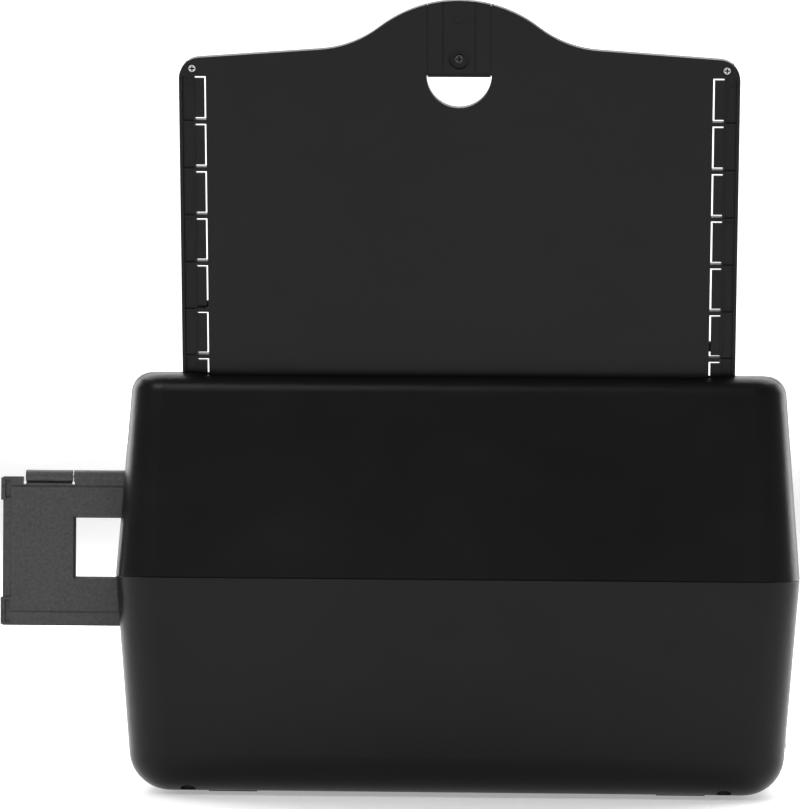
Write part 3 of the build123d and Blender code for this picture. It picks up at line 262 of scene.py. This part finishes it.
# %% [markdown]
# ## Finishes for the mouldings
# The shells are black plastic from a finely etched mould: nearly no colour, a soft gloss, and a
# surface that is only flat from a distance. Three noises at different scales give the etching, the
# faint unevenness of the gloss, and the smudges of handling.


# %% Moulded plastics
def moulded(name, base, lighter, rough, grain_size, grain_depth, smudge=0.05, shine=0.5):
    """Etched plastic: fine grain, slow changes of gloss and a trace of handling. Sizes in metres."""
    finish = Finish(name, base, rough, 0.0, Specular_IOR_Level=shine)
    grain = finish.noise(1 / grain_size, 3.0, 0.6)
    slow = finish.noise(9.0, 2.0)
    marks = finish.noise(38.0, 4.0, 0.62, (1.0, 0.7, 1.6))
    mottling = finish.spread(slow * 0.6 + grain * 0.4, 0.3, 0.7)
    finish.feed("Base Color", finish.blend(base, lighter, mottling))
    handled = finish.spread(marks, 0.45, 0.7)
    finish.feed("Roughness", rough - 0.03 + slow * 0.06 + handled * smudge)
    finish.bump(grain, grain_depth, 0.5)
    return finish.material


case_black = (0.0042, 0.0042, 0.0044)
case_grey = (0.0066, 0.0066, 0.0069)
case_plastic = moulded(
    "satin_black_case", case_black, case_grey,
    rough=0.3, grain_size=0.00045, grain_depth=0.000008, shine=0.15)
panel_black = (0.0045, 0.0045, 0.0047)
panel_grey = (0.007, 0.007, 0.0073)
panel_plastic = moulded(
    "satin_black_panel", panel_black, panel_grey,
    rough=0.42, grain_size=0.0004, grain_depth=0.00001, shine=0.15)
inner_plastic = moulded(
    "dark_inner_moulding", (0.022, 0.022, 0.024), (0.032, 0.032, 0.034),
    rough=0.5, grain_size=0.0006, grain_depth=0.00002)
white_plastic = moulded(
    "milk_white_diffuser", (0.72, 0.72, 0.7), (0.82, 0.82, 0.8),
    rough=0.45, grain_size=0.0005, grain_depth=0.00001)
gear_plastic = moulded(
    "natural_acetal", (0.60, 0.58, 0.52), (0.72, 0.70, 0.64),
    rough=0.35, grain_size=0.0008, grain_depth=0.000015)
jack_plastic = moulded(
    "socket_black", (0.014, 0.014, 0.015), (0.02, 0.02, 0.021),
    rough=0.25, grain_size=0.0006, grain_depth=0.00001)
button_plastic = moulded(
    "button_gloss", (0.04, 0.04, 0.043), (0.05, 0.05, 0.054),
    rough=0.18, grain_size=0.0008, grain_depth=0.000006)
light_plastic = moulded(
    "status_light", (0.18, 0.62, 0.28), (0.26, 0.75, 0.36),
    rough=0.2, grain_size=0.0006, grain_depth=0.000006)


def leather_grained(name):
    """The film holder's moulded leather: raised pebbles with fine creases between them, and a base
    colour that is darker in the creases, which is painted shade.
    """
    finish = Finish(name, (0.05, 0.05, 0.052), 0.5, 0.0, Specular_IOR_Level=0.3)
    pebbles = finish.cells(900.0, "SMOOTH_F1")
    creases = finish.cells(1500.0, "DISTANCE_TO_EDGE")
    fine = finish.noise(4200.0, 3.0, 0.6)
    broad = finish.noise(24.0, 3.0)
    height = (1 - pebbles) * 0.6 + finish.spread(creases, 0.0, 0.12) * 0.3 + fine * 0.25
    # base colour follows the grain's height: darker creases and lighter pebble tops are painted shade,
    # and the broad noise adds random tone
    painted_crease_shade_and_tone = finish.spread(height * 0.8 + broad * 0.35, 0.45, 1.05)
    finish.feed("Base Color", finish.blend((0.030, 0.030, 0.031), (0.064, 0.064, 0.066), painted_crease_shade_and_tone))
    finish.feed("Roughness", 0.62 - height * 0.18)
    finish.bump(height, 0.00009, 0.8)
    return finish.material


film_plastic = leather_grained("leather_grained_plastic")
print("mouldings done")

# %% [markdown]
# ## Rubber, metal, glass and boards
# Rubber scatters light and has a trace of powder on it. Turned steel shows lines round its axis, so
# its noise is stretched across the bar. The boards carry a faint web of copper under green lacquer.


# %% Rubbers, metals, glass and boards
def rubbered(name, base, powder):
    finish = Finish(name, base, 0.8)
    speckle = finish.noise(2600.0, 3.0, 0.7)
    dust = finish.spread(finish.noise(60.0, 4.0, 0.6), 0.45, 0.75)
    finish.feed("Base Color", finish.blend(base, powder, speckle * 0.3 + dust * 0.35))
    finish.feed("Roughness", 0.72 + speckle * 0.18)
    finish.bump(speckle, 0.00004, 0.6)
    return finish.material


def turned_metal(name, base, bright, rough, stretch):
    """Metal with fine lines across one axis and slow stains."""
    finish = Finish(name, base, rough, 1.0)
    lines = finish.noise(240.0, 3.0, 0.6, stretch)
    stains = finish.noise(70.0, 3.0)
    finish.feed("Base Color", finish.blend(base, bright, lines * 0.6 + stains * 0.4))
    finish.feed("Roughness", rough - 0.08 + lines * 0.12 + stains * 0.08)
    finish.bump(lines, 0.000008, 0.5)
    return finish.material


def lacquered_board(name):
    """Green lacquer over a grid of fine copper runs."""
    finish = Finish(name, (0.012, 0.10, 0.045), 0.32)
    runs = finish.cells(260.0, "DISTANCE_TO_EDGE")
    copper = 1 - finish.spread(runs, 0.02, 0.06)
    tint = finish.noise(30.0, 2.0)
    lacquer, over_copper = (0.008, 0.075, 0.03), (0.03, 0.21, 0.09)
    finish.feed("Base Color", finish.blend(lacquer, over_copper, copper * 0.55 + tint * 0.3))
    finish.feed("Roughness", 0.28 + tint * 0.12)
    finish.bump(copper, 0.00003, 0.7)
    return finish.material


def clear_glass(name):
    finish = Finish(name, (0.55, 0.62, 0.62), 0.04, 0.0, Transmission_Weight=0.85, IOR=1.5)
    haze = finish.noise(45.0, 3.0)
    finish.feed("Roughness", 0.02 + haze * 0.06)
    return finish.material


rubber = rubbered("black_rubber", (0.012, 0.012, 0.012), (0.045, 0.045, 0.044))
grey_rubber = rubbered("ground_grey_rubber", (0.10, 0.10, 0.105), (0.19, 0.19, 0.19))
steel = turned_metal("turned_steel", (0.42, 0.42, 0.43), (0.62, 0.62, 0.63), 0.32, (6, 0.4, 0.4))
bright_screw = turned_metal(
    "bright_plated_screw", (0.34, 0.34, 0.34), (0.52, 0.52, 0.51),
    0.38, (3, 3, 3))
dark_screw = turned_metal(
    "black_oxide_screw", (0.03, 0.03, 0.031), (0.075, 0.075, 0.075),
    0.42, (3, 3, 3))
motor_can = turned_metal("drawn_aluminium", (0.40, 0.40, 0.41), (0.58, 0.58, 0.59), 0.36, (8, 0.5, 0.5))
bronze = turned_metal("sintered_bronze", (0.42, 0.27, 0.11), (0.58, 0.40, 0.18), 0.45, (3, 3, 3))
board = lacquered_board("green_board")
glass = clear_glass("sensor_glass")
print("finishes", len(bpy.data.materials))

# %% [markdown]
# ## Giving each node its finish
# The record already says which slot every node belongs to, so one table from slot to material
# covers the whole object.

# %% Assign finishes
finish_of_slot = {
    "case_plastic": case_plastic,
    "panel_plastic": panel_plastic,
    "film_plastic": film_plastic,
    "inner_plastic": inner_plastic,
    "white_plastic": white_plastic,
    "gear_plastic": gear_plastic,
    "rubber": rubber,
    "grey_rubber": grey_rubber,
    "steel": steel,
    "bright_screw": bright_screw,
    "dark_screw": dark_screw,
    "glass": glass,
    "board": board,
    "motor": motor_can,
    "jack": jack_plastic,
    "button": button_plastic,
    "bush": bronze,
    "light": light_plastic,
}
for subpart in frame["record"]["subparts"]:
    node = nodes[subpart["node"]]
    node.data.materials.clear()
    node.data.materials.append(finish_of_slot[subpart["material_slot"]])

# %% [markdown]
# ## Recipes for repeated pieces
# A Geometry Nodes tree is a recipe: it says how one piece is made and where it is repeated, and its
# named inputs hold the sizes. The small class below adds nodes to such a tree, and cast() runs the
# recipe once and keeps the result as a plain mesh, which is what a finished piece should be.


# %% Recipe helper
class Recipe:
    """A Geometry Nodes tree with named inputs, which places copies of one shape on points."""

    def __init__(self, name, sizes):
        self.tree = bpy.data.node_groups.new(name, "GeometryNodeTree")
        face = self.tree.interface
        face.new_socket(name="Geometry", in_out="INPUT", socket_type="NodeSocketGeometry")
        self.keys = {}
        for size, kind in sizes.items():
            made = face.new_socket(name=size, in_out="INPUT", socket_type="NodeSocket" + kind)
            self.keys[size] = made.identifier
        face.new_socket(name="Geometry", in_out="OUTPUT", socket_type="NodeSocketGeometry")
        self.given = self.tree.nodes.new("NodeGroupInput").outputs

    def node(self, kind, settings, inputs):
        """Add a node and return it: settings first, then values or links of its sockets."""
        made = self.tree.nodes.new(kind)
        for key, value in settings.items():
            setattr(made, key, value)
        for key, value in inputs.items():
            for part in value if isinstance(value, list) else [value]:
                if isinstance(part, bpy.types.NodeSocket):
                    self.tree.links.new(part, made.inputs[key])
                else:
                    made.inputs[key].default_value = part
        return made

    def shaped(self, shape, place="Place"):
        """Move a shape by one of the recipe's vector inputs."""
        inputs = {"Geometry": shape, "Translation": self.given[place]}
        return self.node("GeometryNodeTransform", {}, inputs).outputs["Geometry"]

    def painted(self, shape, finish):
        inputs = {"Geometry": shape, "Material": self.given[finish]}
        return self.node("GeometryNodeSetMaterial", {}, inputs).outputs["Geometry"]

    def close(self, shape, lean="Lean"):
        """Repeat the shape on every point, turned by the lean input, and end the tree."""
        turn = self.node("FunctionNodeEulerToRotation", {}, {"Euler": self.given[lean]})
        inputs = {"Points": self.given["Geometry"], "Instance": shape, "Rotation": turn.outputs[0]}
        copies = self.node("GeometryNodeInstanceOnPoints", {}, inputs)
        real = self.node("GeometryNodeRealizeInstances", {}, {"Geometry": copies.outputs[0]})
        ending = self.tree.nodes.new("NodeGroupOutput")
        self.tree.links.new(real.outputs["Geometry"], ending.inputs["Geometry"])


def cast(name, recipe, places, sizes):
    """Run a recipe on a set of points and keep the result as a plain mesh piece."""
    mesh = bpy.data.meshes.new(name)
    mesh.from_pydata([tuple(place) for place in places], [], [])
    piece = bpy.data.objects.new(name, mesh)
    bpy.context.scene.collection.objects.link(piece)
    modifier = piece.modifiers.new(name, "NODES")
    modifier.node_group = recipe.tree
    for size, value in sizes.items():
        modifier[recipe.keys[size]] = value
    graph = bpy.context.evaluated_depsgraph_get()
    solid = bpy.data.meshes.new_from_object(piece.evaluated_get(graph))
    piece.modifiers.clear()
    piece.data = solid
    print(name, "faces", len(solid.polygons), "materials", len(solid.materials))
    return piece


# %% [markdown]
# ## Cross-head screws
# Small screws with a cross recess hold the paper support's rails and its sliding extension. A real
# head is pressed with a tapered rim and the recess is punched in. The recipe does the same: a tapered
# disc, less two crossed bars, and the bars give the cut a near-black metal, painted shade inside the
# recess.

# %% Cross-head screws
screw_recipe = Recipe("cross_head_screw", {
    "Head Radius": "Float", "Face Radius": "Float", "Head Height": "Float",
    "Shank Radius": "Float", "Shank Length": "Float", "Shank Place": "Vector",
    "First Bar": "Vector", "Second Bar": "Vector", "Bar Place": "Vector",
    "Lean": "Vector", "Head Finish": "Material", "Recess Painted Shade": "Material",
})
given = screw_recipe.given
head = screw_recipe.node("GeometryNodeMeshCone", {}, {
    "Vertices": 40, "Radius Top": given["Face Radius"], "Radius Bottom": given["Head Radius"],
    "Depth": given["Head Height"]})
bars = [screw_recipe.node("GeometryNodeMeshCube", {}, {"Size": given[size]}).outputs["Mesh"]
        for size in ("First Bar", "Second Bar")]
# the bars carry a near-black finish into the cut: painted shade inside the cross recess
bars = [screw_recipe.painted(screw_recipe.shaped(bar, "Bar Place"), "Recess Painted Shade") for bar in bars]
plain_head = screw_recipe.painted(head.outputs["Mesh"], "Head Finish")
punched = screw_recipe.node("GeometryNodeMeshBoolean", {"operation": "DIFFERENCE"},
                            {"Mesh 1": plain_head, "Mesh 2": bars}).outputs["Mesh"]
shank = screw_recipe.node("GeometryNodeMeshCylinder", {}, {
    "Vertices": 20, "Radius": given["Shank Radius"], "Depth": given["Shank Length"]})
shank = screw_recipe.painted(screw_recipe.shaped(shank.outputs["Mesh"], "Shank Place"), "Head Finish")
screw = screw_recipe.node("GeometryNodeJoinGeometry", {}, {"Geometry": [punched, shank]})
screw_recipe.close(screw.outputs["Geometry"])
print("screw recipe inputs", len(screw_recipe.keys))

# %% [markdown]
# ## Screws in the paper support
# Two bright screws hold the rails at the top corners, and one dark screw holds the sliding
# extension. Each group takes its place from the box of the CAD node that it stands for: the support
# leans back, so the middle of a head is found from the box's edge and the lean.

# %% Screws in the paper support
support_lean = math.radians(14.0)
outward = Vector((0, math.cos(support_lean), -math.sin(support_lean)))
screw_lean = (-math.pi / 2 - support_lean, 0, 0)


def support_screws(name, node, body, count, head, shank, bar, finish):
    """Cross-head screws that stand for a CAD node, placed from its box; sizes in millimetres."""
    radius, height = head[0] * MM, head[1] * MM
    low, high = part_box(node)
    face_y = high.y - radius * math.sin(support_lean)
    face_z = low.z + radius * math.cos(support_lean)
    places = [Vector((x, face_y, face_z)) - outward * height
              for x in (low.x + radius, high.x - radius)[:count]]
    piece = cast(name, screw_recipe, places, {
        "Head Radius": radius, "Face Radius": radius * 0.86, "Head Height": height,
        "Shank Radius": shank[0] * MM, "Shank Length": shank[1] * MM,
        "Shank Place": (0, 0, -shank[1] * MM / 2),
        "First Bar": (bar[0] * MM, bar[1] * MM, bar[2] * MM),
        "Second Bar": (bar[1] * MM, bar[0] * MM, bar[2] * MM),
        "Bar Place": (0, 0, height), "Lean": screw_lean,
        "Head Finish": finish, "Recess Painted Shade": painted_recess_shadow})
    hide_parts(node)
    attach(piece, body)
    return piece


# near-black metal for the cross recess walls: painted shade where the recess lies in shadow
painted_recess_shadow = turned_metal(
    "painted_recess_shade", (0.008, 0.008, 0.008), (0.02, 0.02, 0.02),
    0.6, (3, 3, 3))
support_screws("rail_screws", "panel_screws", "paper_support", 2,
               (1.6, 0.6), (0.9, 2.6), (2.1, 0.55, 0.8), bright_screw)
support_screws("slide_screw", "extension_screw", "extension", 1,
               (1.9, 0.9), (1.1, 1.6), (2.4, 0.6, 1.0), dark_screw)
